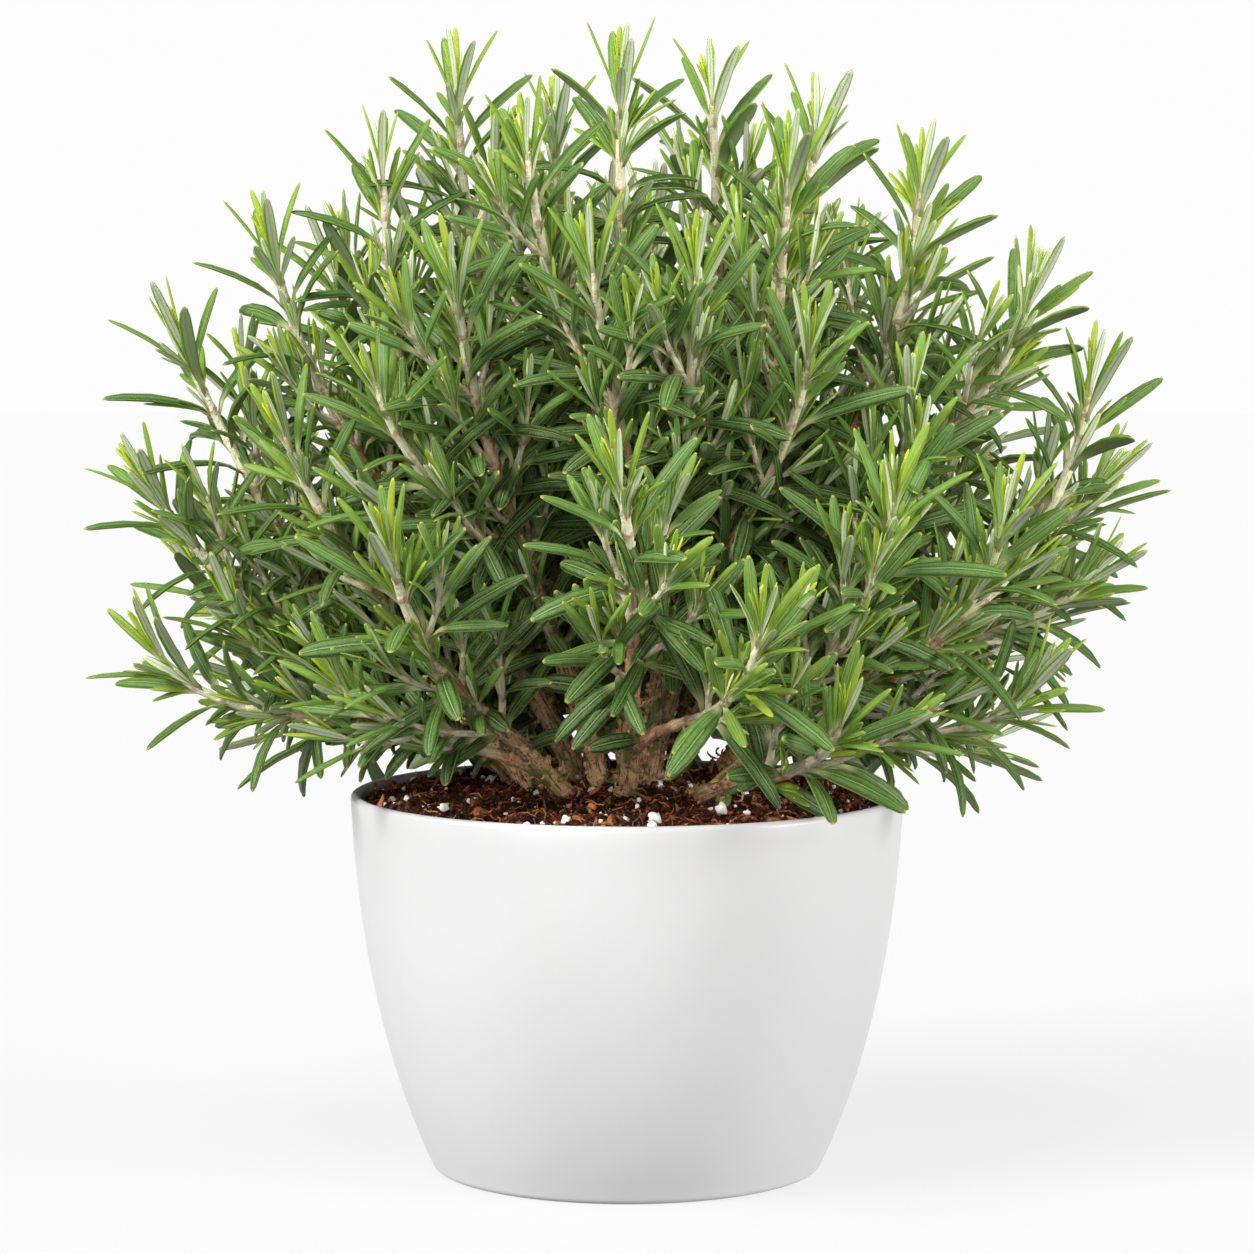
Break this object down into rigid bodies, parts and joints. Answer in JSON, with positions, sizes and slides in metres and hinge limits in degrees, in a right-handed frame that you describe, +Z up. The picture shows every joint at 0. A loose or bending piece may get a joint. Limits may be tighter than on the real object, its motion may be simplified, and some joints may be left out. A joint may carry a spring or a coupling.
{
  "type": "potted rosemary plant",
  "caption": "Upright rosemary herb with woody forking boughs and needle leaves, growing in soil in a round tapered ceramic pot.",
  "frame": {"origin": "centre of the pot's flat foot, on the surface that it stands on", "axes": "+Z up along the pot's axis, -Y towards the side seen in the picture, +X to its right"},
  "size_m": [0.3158, 0.2746, 0.34],
  "materials": {
    "pot_glaze": "satin",
    "soil": "matte",
    "foliage": "satin",
    "bark": "matte",
    "perlite": "matte"
  },
  "bodies": {
    "root": {"pot": "pot_glaze", "soil": "soil", "bough_middle": "foliage", "bough_right_top": "foliage", "bough_right_top_back": "foliage", "bough_left_top_back": "foliage", "bough_left_top": "foliage", "bough_front_left_top": "foliage", "bough_front_top": "foliage", "bough_right": "foliage", "bough_front_right": "foliage", "bough_front_right_low": "foliage", "bough_front": "foliage", "bough_front_left": "foliage", "bough_left_low": "foliage", "bough_left": "foliage", "bough_back_left": "foliage", "bough_back_left_top": "foliage", "bough_back": "foliage", "bough_back_right_top": "foliage", "bough_back_right": "foliage"}
  },
  "joints": []
}
